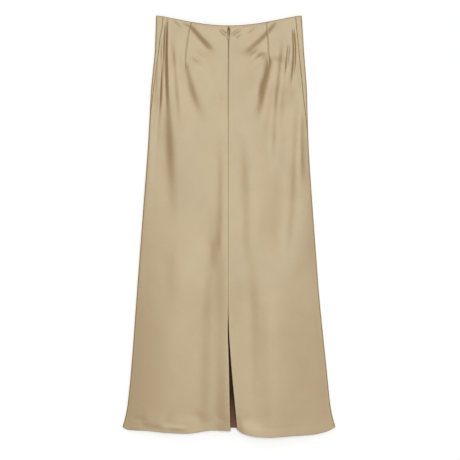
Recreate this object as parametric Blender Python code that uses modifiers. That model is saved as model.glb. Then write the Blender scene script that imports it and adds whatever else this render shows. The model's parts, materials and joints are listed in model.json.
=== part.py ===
"""Satin maxi skirt, laid flat on its front with the back uppermost.

The front panel lies on the surface. Its side edges roll up and over to the side
seams, where the two back panels join it and lie on top of it. The centre back seam
has an invisible zip at the top and ends in an open slit at the hem.

X runs across the skirt, +Y points to the waist and +Z up. "Drop" is the distance
down the skirt from the top of its sides. Tables are in millimetres.
"""

import math
from collections import namedtuple

import bmesh
import bpy

MM = 0.001

# Cloth
WALL = 1.2  # thickness of the cloth
SEAM_GAP = 0.5  # clearance left between two pieces at a seam
LAYER_GAP = 0.4  # least clearance between the front and what lies on it
ROLL = 2.2  # radius of the cloth's middle where it turns over at the sides
SIDE_DROP = 967.0  # length of the sides, waist to hem
TOP_Y = 495.2  # Y of the top of the sides
WAIST_DIP = 23.5  # how far the waist's edge dips at the centre back
WAIST_CURVE = 1.45  # how round that dip is
FRONT_HEM_FALL = 2.8  # how much lower the front's hem is at the middle
FRONT_WAIST_STEP = 1.5  # the front's waist lies this far below the back's

# Heights of the upper layer's middle, over the roll's top
SHOULDER = 1.3  # rise just inside the rolled edge
SHOULDER_WIDTH = 20.0
SAG = 1.9  # fall from there to the middle of the panels
SAG_START = 24.0
SAG_WIDTH = 60.0

# Zip
TAPE_WIDTH = 10.0  # each tape, in from the edge of its panel
TAPE_WALL = 0.9
TAPE_GAP = 0.3
TAPE_TOP_DROP = 27.0
TAPE_END_DROP = 236.0
SLIDER_DROP = 40.0  # middle of the slider
SLIDER_X = -1.1
SLIDER_WIDTH = 3.4
SLIDER_LENGTH = 9.5
SLIDER_HEIGHT = 1.3
SLIDER_ROUNDING = 0.45
SLIDER_CLEARANCE = 0.35  # over the tape
HINGE_BELOW_MIDDLE = 1.1  # the pull hangs from just below the slider's middle
BRIDGE_RADIUS = 2.0  # ring on the slider that holds the pull
BRIDGE_WIRE = 0.36
PULL_LENGTH = 18.0
PULL_EYE_WIDTH = 4.2
PULL_WIDTH = 7.0
PULL_WALL = 0.8
PULL_EYE_HOLE = 2.3  # width of the hole the ring passes through
PULL_EYE_LENGTH = 3.6
PULL_BAR = 0.45  # the eye's bar reaches this far either side of the hinge axis
PULL_OVER_SLIDER = 0.85  # height of the hinge axis over the slider's top

Side = namedtuple("Side", "drop left right left_wrap right_wrap steps")
# left, right: half widths of the laid skirt. left_wrap, right_wrap: how far the front
# comes over the edge before it meets the side seam. steps: rows to the next line.
SIDES = [
    Side(0, 170.9, 170.9, 17.0, 15.8, 3),
    Side(20, 171.2, 171.8, 16.4, 15.2, 3),
    Side(48, 172.3, 173.6, 12.2, 14.0, 2),
    Side(81, 173.6, 175.7, 10.0, 13.2, 2),
    Side(120, 177.4, 178.8, 8.4, 12.0, 2),
    Side(175, 182.7, 182.7, 6.6, 10.5, 2),
    Side(240, 186.2, 184.4, 2.2, 4.6, 2),
    Side(300, 189.6, 186.6, 1.5, 1.5, 3),
    Side(457, 201.4, 196.8, 1.5, 1.5, 3),
    Side(645, 215.6, 210.9, 1.5, 1.5, 3),
    Side(833, 229.7, 229.7, 1.5, 1.5, 2),
    Side(904, 236.8, 236.8, 1.5, 1.5, 1),
    Side(930, 240.6, 240.6, 1.5, 1.5, 1),
    Side(951, 245.4, 245.4, 1.5, 1.5, 1),
    Side(967, 249.4, 249.4, 1.5, 1.5, 0),
]

CentreBack = namedtuple("CentreBack", "drop middle gap")
# Between the back panels' edges: the gap round the slider, the seam, then the slit
CENTRE_BACK = [
    CentreBack(23, -1.1, 0.6),
    CentreBack(33, -1.0, 4.3),
    CentreBack(47, -1.0, 4.3),
    CentreBack(62, -1.2, 0.6),
    CentreBack(220, -1.6, 0.6),
    CentreBack(560, -1.7, 0.6),
    CentreBack(690, -1.9, 0.6),
    CentreBack(739, -1.6, 2.4),
    CentreBack(786, 0.6, 3.9),
    CentreBack(845, 3.7, 6.7),
    CentreBack(904, 7.0, 11.1),
    CentreBack(976, 11.4, 15.6),
]

Hem = namedtuple("Hem", "x drop")
# The back's hem hangs a little lower in two soft lobes
HEM = [
    Hem(-250, 967),
    Hem(-244, 970.5),
    Hem(-235, 973.5),
    Hem(-190, 975.5),
    Hem(-150, 979.5),
    Hem(-98, 981.8),
    Hem(-76, 979.5),
    Hem(-57, 976),
    Hem(-38, 974),
    Hem(0, 975.5),
    Hem(19, 972),
    Hem(27, 978),
    Hem(41, 983.5),
    Hem(69, 989.2),
    Hem(98, 990.4),
    Hem(150, 987),
    Hem(197, 984.3),
    Hem(224, 979),
    Hem(241, 972.5),
    Hem(250, 967),
]

Fold = namedtuple("Fold", "x0 drop0 x1 drop1 bow width0 width1 height")
# A fold runs from its first point to its second, bowed sideways at the middle. Its
# half width grows from width0 to width1. A trough has a height below nought.
FOLDS = [
    Fold(-145, -40, -125, 480, -6, 8, 10, -2.2),
    Fold(-138, 50, -108, 290, -2, 8, 10, -1.0),
    Fold(-106, 120, -46, 275, -4, 8, 13, -1.3),
    Fold(-92, 20, -32, 82, 2, 8, 9, -0.8),
    Fold(118, 15, 24, 98, -3, 8, 9, -0.9),
    Fold(94, 95, 66, 255, -4, 8, 12, -1.3),
    Fold(130, 40, 105, 325, -3, 8, 10, -1.2),
    Fold(149, 10, 143, 185, 6, 8, 8, -0.9),
    Fold(164, 130, 150, 365, 3, 9, 12, -1.1),
    Fold(182, 370, 130, 560, 2, 12, 18, -0.9),
    Fold(-22, 250, -20, 1010, 0, 14, 16, -0.9),
    Fold(36, 340, 34, 620, 0, 12, 14, -0.7),
    Fold(-74, 300, -103, 1010, 0, 26, 34, 1.3),
    Fold(92, 300, 78, 1010, 4, 20, 34, 1.2),
    Fold(8, 640, 24, 1020, 0, 20, 26, 1.8),
    Fold(-160, 600, -178, 1010, 0, 26, 30, -0.8),
    Fold(168, 640, 176, 1010, 0, 26, 30, -0.8),
]
FOLD_FADE = 0.16  # share of a fold's run over which it rises, and dies away

FRONT_CELLS = 10  # across the flat middle of the front
QUARTER_CELLS = 3  # round the lower quarter of a rolled edge
WRAP_CELLS = 3  # from the outermost line of the edge to the seam
BACK_CELLS = 17  # from the rolled edge to the zip tape's edge
BACK_EASE = 1.2  # crowds those cells towards the side

SATIN_COLOUR = (0.53, 0.42, 0.27, 1.0)
TAPE_COLOUR = (0.36, 0.27, 0.16, 1.0)
SLIDER_COLOUR = (0.45, 0.37, 0.24, 1.0)


def ease(value):
    """Smooth step from 0 to 1 over the values 0 to 1."""
    value = min(max(value, 0.0), 1.0)
    return value * value * (3.0 - 2.0 * value)


def slope_at(keys, values, k):
    """Slope of the curve through a row, which never swings past the rows' values."""
    low = max(k - 1, 0)
    high = min(k + 1, len(keys) - 1)
    before = (values[k] - values[low]) / (keys[k] - keys[low]) if k > low else None
    after = (values[high] - values[k]) / (keys[high] - keys[k]) if high > k else None
    if before is None:
        return after
    if after is None:
        return before
    if before * after <= 0.0:
        return 0.0
    return 2.0 * before * after / (before + after)


def read_table(table, key, at, column):
    """Value of a column at a place between rows, on a smooth curve through the rows."""
    keys = [getattr(row, key) for row in table]
    values = [getattr(row, column) for row in table]
    if at <= keys[0]:
        return values[0]
    if at >= keys[-1]:
        return values[-1]
    i = max(k for k in range(len(keys) - 1) if keys[k] <= at)
    slopes = [slope_at(keys, values, k) for k in (i, i + 1)]
    span = keys[i + 1] - keys[i]
    t = (at - keys[i]) / span
    start = values[i] * (1 + 2 * t) * (1 - t) ** 2 + slopes[0] * span * t * (1 - t) ** 2
    end = values[i + 1] * t * t * (3 - 2 * t) - slopes[1] * span * t * t * (1 - t)
    return start + end


def row_drops():
    """Drops, along the side, of every row of points."""
    drops = []
    for upper, lower in zip(SIDES, SIDES[1:]):
        for step in range(upper.steps):
            drops.append(upper.drop + (lower.drop - upper.drop) * step / upper.steps)
    drops.append(SIDES[-1].drop)
    return drops


def half_width(side, drop):
    return read_table(SIDES, "drop", drop, "left" if side < 0 else "right")


def seam_wrap(side, drop):
    return read_table(SIDES, "drop", drop, "left_wrap" if side < 0 else "right_wrap")


def waist_drop(x):
    across = min(abs(x) / SIDES[0].left, 1.0)
    return WAIST_DIP * (1.0 - across * across) ** WAIST_CURVE


def hem_drop(x):
    return read_table(HEM, "x", x, "drop")


def drop_at(x, share, on_back):
    """Drop of the point at X, a share of the way from the waist to the hem.

    on_back goes from 0 on the front to 1 on the back, whose edges lie elsewhere."""
    across = min(abs(x) / SIDES[-1].left, 1.0)
    front_end = SIDE_DROP + FRONT_HEM_FALL * (1.0 - across * across)
    top = waist_drop(x) + FRONT_WAIST_STEP * (1.0 - on_back)
    end = front_end + (hem_drop(x) - front_end) * on_back
    return top + (end - top) * share


def fold_height(x, drop):
    """Sum of the folds' heights at a place on the back."""
    total = 0.0
    for fold in FOLDS:
        run_x = fold.x1 - fold.x0
        run_drop = fold.drop1 - fold.drop0
        length = math.hypot(run_x, run_drop)
        t = ((x - fold.x0) * run_x + (drop - fold.drop0) * run_drop) / length ** 2
        if not 0.0 < t < 1.0:
            continue
        off = ((x - fold.x0) * run_drop - (drop - fold.drop0) * run_x) / length
        off -= fold.bow * 4.0 * t * (1.0 - t)
        width = fold.width0 + (fold.width1 - fold.width0) * t
        fade = ease(t / FOLD_FADE) * ease((1.0 - t) / FOLD_FADE)
        total += fold.height * fade * math.exp(-(off / width) ** 2)
    return total


def back_height(x, drop, inward):
    """Height of the upper layer's middle, inward millimetres from the roll's top."""
    roll_top = WALL / 2 + 2 * ROLL
    level = roll_top + SHOULDER * ease(inward / SHOULDER_WIDTH)
    level -= SAG * ease((inward - SAG_START) / SAG_WIDTH)
    level += fold_height(x, drop) * ease(inward / SHOULDER_WIDTH)
    lowest = WALL * 1.5 + LAYER_GAP
    return max(level, lowest)


def skirt_point(side, share, along):
    """Point on the middle of the cloth, round one edge of the skirt.

    along is measured on the cloth from where the front leaves the floor: below
    nought it lies on the floor, then it goes round the roll, then over the back."""
    side_drop = SIDE_DROP * share
    roll_centre = half_width(side, side_drop) - ROLL
    if along <= 0.0:
        x = side * (roll_centre + along)
        drop = drop_at(x, share, 0.0)
        return (x * MM, (TOP_Y - drop) * MM, WALL / 2 * MM)
    if along < math.pi * ROLL:
        angle = along / ROLL
        x = side * (roll_centre + ROLL * math.sin(angle))
        drop = drop_at(x, share, angle / math.pi)
        height = WALL / 2 + ROLL * (1.0 - math.cos(angle))
        return (x * MM, (TOP_Y - drop) * MM, height * MM)
    inward = along - math.pi * ROLL
    x = side * (roll_centre - inward)
    drop = drop_at(x, share, 1.0)
    return (x * MM, (TOP_Y - drop) * MM, back_height(x, drop, inward) * MM)


def front_grid():
    """Rows of points from the left side seam, under the skirt, to the right one."""
    quarter = math.pi * ROLL / 2
    rows = []
    for side_drop in row_drops():
        share = side_drop / SIDE_DROP
        ends = {}
        for side in (-1, 1):
            wrap = seam_wrap(side, side_drop)
            places = [quarter * k / QUARTER_CELLS for k in range(QUARTER_CELLS + 1)]
            places += [quarter + wrap * (k + 1) / WRAP_CELLS for k in range(WRAP_CELLS)]
            ends[side] = [skirt_point(side, share, place) for place in places]
        reach = {side: half_width(side, side_drop) - ROLL for side in (-1, 1)}
        middle = []
        for k in range(1, FRONT_CELLS):
            x = -reach[-1] + (reach[-1] + reach[1]) * k / FRONT_CELLS
            side = 1 if x > 0 else -1
            middle.append(skirt_point(side, share, abs(x) - reach[side]))
        rows.append(ends[-1][::-1] + middle + ends[1])
    return rows


def back_grid(side):
    """Rows of points from a side seam to the centre back edge of that panel."""
    quarter = math.pi * ROLL / 2
    rows = []
    for side_drop in row_drops():
        share = side_drop / SIDE_DROP
        middle_drop = drop_at(0.0, share, 1.0)
        gap = read_table(CENTRE_BACK, "drop", middle_drop, "gap")
        edge_x = read_table(CENTRE_BACK, "drop", middle_drop, "middle") + side * gap / 2
        start = quarter + seam_wrap(side, side_drop) + SEAM_GAP
        end = 2 * quarter + half_width(side, side_drop) - ROLL - side * edge_x
        tape_edge = end - TAPE_WIDTH
        places = [start, start + quarter / 2]
        first = start + quarter
        for k in range(BACK_CELLS + 1):
            places.append(first + (tape_edge - first) * (k / BACK_CELLS) ** BACK_EASE)
        places.append(end)
        rows.append([skirt_point(side, share, place) for place in places])
    return rows


def tape_grid(left_rows, right_rows):
    """Rows of points for the closed zip's tapes, from the panels' own, moved down."""
    lower = (WALL / 2 + TAPE_GAP + TAPE_WALL / 2) * MM
    top_y = (TOP_Y - TAPE_TOP_DROP) * MM
    end_y = (TOP_Y - TAPE_END_DROP) * MM
    rows = []
    for left, right in zip(left_rows, right_rows):
        if not end_y <= left[-1][1] <= top_y:
            continue
        points = [left[-2], left[-1], right[-1], right[-2]]
        rows.append([(x, y, z - lower) for x, y, z in points])
    return rows


def make_material(name, colour, roughness, metallic=0.0):
    material = bpy.data.materials.new(name)
    material.use_nodes = True
    shader = material.node_tree.nodes["Principled BSDF"]
    shader.inputs["Base Color"].default_value = colour
    shader.inputs["Roughness"].default_value = roughness
    shader.inputs["Metallic"].default_value = metallic
    return material


def make_cloth(name, rows, wall, material, collection):
    """One cut piece: a sheet through rows of points, with Solidify for its wall."""
    mesh = bpy.data.meshes.new(name)
    count = len(rows[0])
    points = [point for row in rows for point in row]
    faces = []
    for i in range(len(rows) - 1):
        for k in range(count - 1):
            a = i * count + k
            faces.append((a, a + 1, a + count + 1, a + count))
    mesh.from_pydata(points, [], faces)
    mesh.materials.append(material)
    piece = bpy.data.objects.new(name, mesh)
    collection.objects.link(piece)
    solid = piece.modifiers.new("Cloth wall", "SOLIDIFY")
    solid.thickness = wall * MM
    solid.offset = 0.0
    solid.use_even_offset = True
    mesh.shade_smooth()
    return piece


def mesh_from_curve(curve_object):
    """Replaces a curve object by its welded mesh, in the same place."""
    bpy.context.view_layer.update()
    evaluated = curve_object.evaluated_get(bpy.context.evaluated_depsgraph_get())
    mesh = bpy.data.meshes.new_from_object(evaluated)
    work = bmesh.new()
    work.from_mesh(mesh)
    bmesh.ops.remove_doubles(work, verts=work.verts, dist=0.00001)
    bmesh.ops.recalc_face_normals(work, faces=work.faces)
    work.to_mesh(mesh)
    work.free()
    solid = bpy.data.objects.new(curve_object.name, mesh)
    solid.matrix_world = curve_object.matrix_world
    bpy.data.objects.remove(curve_object)
    return solid


def slider_place():
    """Middle of the slider's underside, just over the zip's tape."""
    inward = half_width(-1, 0.0) - ROLL - abs(SLIDER_X)
    cloth = back_height(SLIDER_X, SLIDER_DROP, inward)
    height = cloth - WALL / 2 - TAPE_GAP + SLIDER_CLEARANCE
    return (SLIDER_X * MM, (TOP_Y - SLIDER_DROP) * MM, height * MM)


def hinge_place():
    """A point on the pull's hinge axis, which runs across the slider."""
    x, y, z = slider_place()
    height = z + (SLIDER_HEIGHT + PULL_OVER_SLIDER) * MM
    return (x, y - HINGE_BELOW_MIDDLE * MM, height)


def make_slider(material, collection, cutters):
    """Slider body with the ring that its pull hangs from."""
    bpy.ops.mesh.primitive_cube_add(size=1.0)
    body = bpy.context.object
    body.name = "zip_slider"
    body.data.name = "zip_slider"
    body.scale = (SLIDER_WIDTH * MM, SLIDER_LENGTH * MM, SLIDER_HEIGHT * MM)
    bpy.ops.object.transform_apply(location=False, rotation=False, scale=True)
    x, y, z = slider_place()
    body.location = (x, y, z + SLIDER_HEIGHT / 2 * MM)
    body.data.materials.append(material)
    rounding = body.modifiers.new("Rounded edges", "BEVEL")
    rounding.width = SLIDER_ROUNDING * MM
    rounding.segments = 2
    bpy.ops.mesh.primitive_torus_add(
        major_radius=BRIDGE_RADIUS * MM,
        minor_radius=BRIDGE_WIRE * MM,
        major_segments=20,
        minor_segments=8,
        location=hinge_place(),
        rotation=(0.0, math.pi / 2, 0.0),
    )
    ring = bpy.context.object
    ring.name = "bridge_ring"
    ring.hide_render = True
    ring.display_type = "WIRE"
    join = body.modifiers.new("Bridge", "BOOLEAN")
    join.operation = "UNION"
    join.object = ring
    for piece, home in ((body, collection), (ring, cutters)):
        for old in list(piece.users_collection):
            old.objects.unlink(piece)
        home.objects.link(piece)
    return body


def make_pull(material, collection):
    """Teardrop pull: a plate with an eye, hinged on the slider's ring."""
    curve = bpy.data.curves.new("zip_pull", "CURVE")
    curve.dimensions = "2D"
    curve.fill_mode = "BOTH"
    curve.extrude = PULL_WALL / 2 * MM
    round_end = PULL_WIDTH / 2
    end_y = -(PULL_LENGTH - PULL_BAR - round_end)
    outline = [
        (-PULL_EYE_WIDTH / 2 + 0.5, PULL_BAR),
        (-PULL_EYE_WIDTH / 2, PULL_BAR - 0.5),
        (-PULL_EYE_WIDTH / 2, -PULL_EYE_LENGTH),
    ]
    for k in range(13):
        angle = math.radians(170.0 + 200.0 * k / 12)
        outline.append((round_end * math.cos(angle), end_y + round_end * math.sin(angle)))
    outline += [
        (PULL_EYE_WIDTH / 2, -PULL_EYE_LENGTH),
        (PULL_EYE_WIDTH / 2, PULL_BAR - 0.5),
        (PULL_EYE_WIDTH / 2 - 0.5, PULL_BAR),
    ]
    hole = [
        (-PULL_EYE_HOLE / 2, -PULL_BAR),
        (-PULL_EYE_HOLE / 2, -PULL_EYE_LENGTH),
        (PULL_EYE_HOLE / 2, -PULL_EYE_LENGTH),
        (PULL_EYE_HOLE / 2, -PULL_BAR),
    ]
    for points in (outline, hole):
        spline = curve.splines.new("POLY")
        spline.points.add(len(points) - 1)
        for k, (x, y) in enumerate(points):
            spline.points[k].co = (x * MM, y * MM, 0.0, 1.0)
        spline.use_cyclic_u = True
    flat = bpy.data.objects.new("zip_pull", curve)
    flat.location = hinge_place()
    collection.objects.link(flat)
    pull = mesh_from_curve(flat)
    pull.name = "zip_pull"
    pull.data.materials.clear()
    pull.data.materials.append(material)
    collection.objects.link(pull)
    return pull


def make_skirt():
    for old in list(bpy.data.objects):
        bpy.data.objects.remove(old)
    skirt = bpy.data.collections.new("satin_maxi_skirt")
    bpy.context.scene.collection.children.link(skirt)
    cutters = bpy.data.collections.new("cutters")
    bpy.context.scene.collection.children.link(cutters)

    left_rows = back_grid(-1)
    right_rows = back_grid(1)
    cloths = [
        ("front_panel", front_grid()),
        ("back_left_panel", left_rows),
        ("back_right_panel", right_rows),
    ]
    for name, rows in cloths:
        satin = make_material(name + "_satin", SATIN_COLOUR, 0.38)
        make_cloth(name, rows, WALL, satin, skirt)
    tape = make_material("zip_tape_weave", TAPE_COLOUR, 0.8)
    make_cloth("zip_tape", tape_grid(left_rows, right_rows), TAPE_WALL, tape, skirt)
    make_slider(make_material("slider_enamel", SLIDER_COLOUR, 0.35, 0.6), skirt, cutters)
    make_pull(make_material("pull_enamel", SLIDER_COLOUR, 0.35, 0.6), skirt)


make_skirt()
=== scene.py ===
import json
import math
from collections import namedtuple

import bpy
import numpy as np
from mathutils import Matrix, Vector


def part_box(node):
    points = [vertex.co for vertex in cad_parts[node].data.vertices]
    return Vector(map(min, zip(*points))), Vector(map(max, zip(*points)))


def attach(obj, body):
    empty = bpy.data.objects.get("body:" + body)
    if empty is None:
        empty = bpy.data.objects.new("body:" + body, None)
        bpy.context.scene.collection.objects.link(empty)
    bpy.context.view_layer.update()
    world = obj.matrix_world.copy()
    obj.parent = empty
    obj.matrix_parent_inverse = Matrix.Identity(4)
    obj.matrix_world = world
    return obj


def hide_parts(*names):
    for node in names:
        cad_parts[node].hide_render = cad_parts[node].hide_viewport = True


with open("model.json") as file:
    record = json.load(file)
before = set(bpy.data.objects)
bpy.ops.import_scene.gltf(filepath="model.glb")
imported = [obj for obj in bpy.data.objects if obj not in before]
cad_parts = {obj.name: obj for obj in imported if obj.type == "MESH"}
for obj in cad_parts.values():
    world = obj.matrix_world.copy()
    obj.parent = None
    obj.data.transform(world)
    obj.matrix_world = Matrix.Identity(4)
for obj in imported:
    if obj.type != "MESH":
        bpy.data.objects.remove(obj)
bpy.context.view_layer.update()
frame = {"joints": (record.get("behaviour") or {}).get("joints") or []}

scene = bpy.context.scene
MM = 0.001


# --- Front ----------------------------------------------------------------------------
# One piece of champagne polyester satin, cut on the fold. It lies face down on the table,
# and its sides come up over the rolled edges to the side seams. Waist and hem are turned
# to the inside and pressed.

SATIN_FACE = (0.273, 0.178, 0.077, 1.0)
SATIN_SHADE = (0.249, 0.157, 0.066, 1.0)
# the reverse's own dull colour, darkened in part as painted shade for the dark inside
SATIN_REVERSE = (0.180, 0.086, 0.052, 1.0)
SATIN_REVERSE_PAINTED_SHADE = (0.036, 0.018, 0.011, 1.0)  # painted shade: the reverse's colour up inside, where little light comes
SATIN_GLEAM = (1.0, 0.962, 0.765, 1.0)
SATIN_SHEEN = (1.0, 0.93, 0.80, 1.0)
SATIN_IOR = 1.63
INSIDE_LIT = -0.475  # Y in metres: at the slit's foot the inside's colour is the lit one, and from here up it is the painted shade
INSIDE_DARK = -0.395  # and from here up it is dark

# Tables are in millimetres. "Drop" is the distance down from the top of the sides.
TOP_Y = 495.2
SIDE_DROP = 967.0
CLOTH = 0.5  # thickness of the cloth
TURN = 0.45  # radius of a turned edge
ROLL = 2.2  # radius where the cloth turns over at the sides
FLOOR_LEVEL = CLOTH / 2
ROLL_TOP = FLOOR_LEVEL + 2 * ROLL
WAIST_DIP = 23.5  # how far the waist's edge dips at the middle
WAIST_CURVE = 1.45  # the power of the dip's curve
WAIST_TURN = 9.0  # how deep the waist's edge is turned in
HEM_TURN = 13.0  # how deep the hem is turned up
FRONT_HEM_TURN = 1.2  # the front's hem is rolled under narrowly
FRONT_HEM_FALL = 2.8  # how much lower the front's hem is at the middle
FRONT_WAIST_STEP = 1.5  # how much lower the front's waist lies than the backs'
FRONT_CELLS = 88  # across the part that lies on the table
SEAM_GAP = 0.3  # from a side seam's line to the middle of either cloth

Side = namedtuple(
    "Side", "drop left right left_wrap right_wrap left_rise right_rise shoulder crown"
)
# Half widths, how far the front comes over each edge, how high the cloth rises just
# inside the edge and over what width, and how much higher the middle lies
SIDES = [
    Side(0, 171.3, 171.3, 17.0, 15.8, 0.2, 0.2, 5, 1.3),
    Side(20, 171.6, 172.2, 16.4, 15.2, 0.2, 0.2, 5, 1.3),
    Side(48, 172.7, 174.0, 12.2, 14.0, 0.3, 0.3, 5, 1.3),
    Side(81, 174.0, 176.1, 10.0, 13.2, 0.4, 0.4, 5, 1.3),
    Side(120, 177.8, 179.2, 8.4, 12.0, 0.5, 0.5, 6, 1.3),
    Side(175, 183.1, 183.1, 6.6, 10.5, 0.7, 0.7, 8, 1.3),
    Side(240, 186.6, 184.8, 2.2, 4.6, 1.0, 1.0, 12, 1.4),
    Side(300, 190.0, 187.0, 1.5, 1.5, 1.4, 1.9, 16, 1.5),
    Side(457, 201.8, 197.2, 1.5, 1.5, 2.6, 4.2, 34, 1.6),
    Side(560, 209.6, 204.9, 1.5, 1.5, 4.2, 5.8, 48, 1.8),
    Side(645, 216.0, 211.3, 1.5, 1.5, 5.8, 6.4, 66, 2.0),
    Side(833, 230.1, 230.1, 1.5, 1.5, 6.0, 6.2, 70, 2.2),
    Side(904, 237.2, 237.2, 1.5, 1.5, 5.7, 5.9, 66, 2.3),
    Side(930, 241.0, 241.0, 1.5, 1.5, 5.4, 5.6, 60, 2.3),
    Side(951, 245.8, 245.8, 1.5, 1.5, 5.1, 5.3, 56, 2.3),
    Side(967, 249.8, 249.8, 1.5, 1.5, 4.9, 5.1, 50, 2.3),
]


def new_group(name, inputs, outputs):
    """A shader group with the named sockets: (name, kind, value) in, (name, kind) out."""
    group = bpy.data.node_groups.new(name, "ShaderNodeTree")
    for label, kind, value in inputs:
        socket = group.interface.new_socket(label, in_out="INPUT", socket_type=kind)
        socket.default_value = value
    for label, kind in outputs:
        group.interface.new_socket(label, in_out="OUTPUT", socket_type=kind)
    return group, group.nodes.new("NodeGroupInput"), group.nodes.new("NodeGroupOutput")


def add_noise(group, place, scale, detail, stretch):
    """Noise on the object's own coordinates, stretched along its axes."""
    mapping = group.nodes.new("ShaderNodeMapping")
    mapping.inputs["Scale"].default_value = stretch
    texture = group.nodes.new("ShaderNodeTexNoise")
    texture.inputs["Scale"].default_value = scale
    texture.inputs["Detail"].default_value = detail
    group.links.new(place.outputs["Object"], mapping.inputs["Vector"])
    group.links.new(mapping.outputs["Vector"], texture.inputs["Vector"])
    return texture.outputs["Fac"]


def add_range(group, value, low, high, to_low=0.0, to_high=1.0):
    node = group.nodes.new("ShaderNodeMapRange")
    node.inputs["From Min"].default_value = low
    node.inputs["From Max"].default_value = high
    node.inputs["To Min"].default_value = to_low
    node.inputs["To Max"].default_value = to_high
    group.links.new(value, node.inputs["Value"])
    return node.outputs["Result"]


def add_mix(group, factor, first, second, blend="MIX"):
    node = group.nodes.new("ShaderNodeMix")
    node.data_type = "RGBA"
    node.blend_type = blend
    if factor is None:
        node.inputs["Factor"].default_value = 1.0
    else:
        group.links.new(factor, node.inputs["Factor"])
    group.links.new(first, node.inputs["A"])
    group.links.new(second, node.inputs["B"])
    return node.outputs["Result"]


def make_weave_group():
    """Satin weave: fine floats up the warp, faint slubs across, a soft uneven tone, and painted
    shade up the skirt where asked.
    """
    group, entry, leave = new_group(
        "satin_weave",
        [
            ("Face", "NodeSocketColor", SATIN_FACE),
            ("Shade", "NodeSocketColor", SATIN_SHADE),
            ("Roughness", "NodeSocketFloat", 0.4),
            ("Relief", "NodeSocketFloat", 1.0),
            ("Painted Shade Up", "NodeSocketFloat", 0.0),
        ],
        [
            ("Color", "NodeSocketColor"),
            ("Roughness", "NodeSocketFloat"),
            ("Normal", "NodeSocketVector"),
        ],
    )
    place = group.nodes.new("ShaderNodeTexCoord")
    floats = add_noise(group, place, 2600.0, 2.0, (1.0, 0.12, 1.0))
    slubs = add_noise(group, place, 330.0, 3.0, (0.25, 1.0, 1.0))
    rumple = add_noise(group, place, 42.0, 3.0, (1.0, 0.8, 1.0))
    cloud = add_noise(group, place, 9.0, 2.0, (1.0, 0.5, 1.0))
    # painted shade: the colour is lighter at the slit's foot, where light comes in, and darker from
    # there up
    along = group.nodes.new("ShaderNodeSeparateXYZ")
    group.links.new(place.outputs["Object"], along.inputs["Vector"])
    shaded = group.nodes.new("ShaderNodeMapRange")
    group.links.new(entry.outputs["Painted Shade Up"], shaded.inputs["Value"])
    depth = add_range(group, along.outputs["Y"], INSIDE_LIT, INSIDE_DARK)
    group.links.new(add_range(group, cloud, 0.3, 0.7), shaded.inputs["To Min"])
    group.links.new(depth, shaded.inputs["To Max"])
    tone = add_mix(group, shaded.outputs["Result"], entry.outputs["Face"], entry.outputs["Shade"])
    flecks = add_range(group, slubs, 0.25, 0.75, 0.97, 1.03)
    flecked = add_mix(group, None, tone, flecks, "MULTIPLY")
    group.links.new(flecked, leave.inputs["Color"])
    worn = group.nodes.new("ShaderNodeMath")
    worn.operation = "MULTIPLY_ADD"
    worn.inputs[1].default_value = 0.06
    group.links.new(rumple, worn.inputs[0])
    group.links.new(entry.outputs["Roughness"], worn.inputs[2])
    group.links.new(worn.outputs["Value"], leave.inputs["Roughness"])
    normal = None
    for height, relief in ((rumple, 0.05), (slubs, 0.012), (floats, 0.008)):
        bump = group.nodes.new("ShaderNodeBump")
        bump.inputs["Distance"].default_value = relief * MM
        group.links.new(entry.outputs["Relief"], bump.inputs["Strength"])
        group.links.new(height, bump.inputs["Height"])
        if normal is not None:
            group.links.new(normal, bump.inputs["Normal"])
        normal = bump.outputs["Normal"]
    group.links.new(normal, leave.inputs["Normal"])
    return group


satin_weave = make_weave_group()


def woven_material(name, face, shade, roughness, relief, painted_shade_up):
    """One side of the satin. Its darker tone comes in random clouds, or, when the last argument is
    1, as painted shade darkening up the skirt.
    """
    material = bpy.data.materials.new(name)
    material.use_nodes = True
    tree = material.node_tree
    shader = tree.nodes["Principled BSDF"]
    weave = tree.nodes.new("ShaderNodeGroup")
    weave.node_tree = satin_weave
    weave.inputs["Face"].default_value = face
    weave.inputs["Shade"].default_value = shade
    weave.inputs["Roughness"].default_value = roughness
    weave.inputs["Relief"].default_value = relief
    weave.inputs["Painted Shade Up"].default_value = painted_shade_up
    tree.links.new(weave.outputs["Color"], shader.inputs["Base Color"])
    tree.links.new(weave.outputs["Roughness"], shader.inputs["Roughness"])
    tree.links.new(weave.outputs["Normal"], shader.inputs["Normal"])
    return material


satin_face = woven_material("satin_face", SATIN_FACE, SATIN_SHADE, 0.28, 1.0, 0.0)
glossy = satin_face.node_tree.nodes["Principled BSDF"]
glossy.inputs["IOR"].default_value = SATIN_IOR
glossy.inputs["Specular Tint"].default_value = SATIN_GLEAM
glossy.inputs["Sheen Weight"].default_value = 0.03
glossy.inputs["Sheen Roughness"].default_value = 0.4
glossy.inputs["Sheen Tint"].default_value = SATIN_SHEEN
# the reverse takes painted shade: its colour darkens up inside from the slit's foot
satin_reverse = woven_material("satin_reverse", SATIN_REVERSE, SATIN_REVERSE_PAINTED_SHADE, 0.8, 0.6, 1.0)
matt = satin_reverse.node_tree.nodes["Principled BSDF"]
matt.inputs["Specular IOR Level"].default_value = 0.15


def ease(value):
    value = np.clip(value, 0.0, 1.0)
    return value * value * (3.0 - 2.0 * value)


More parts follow.
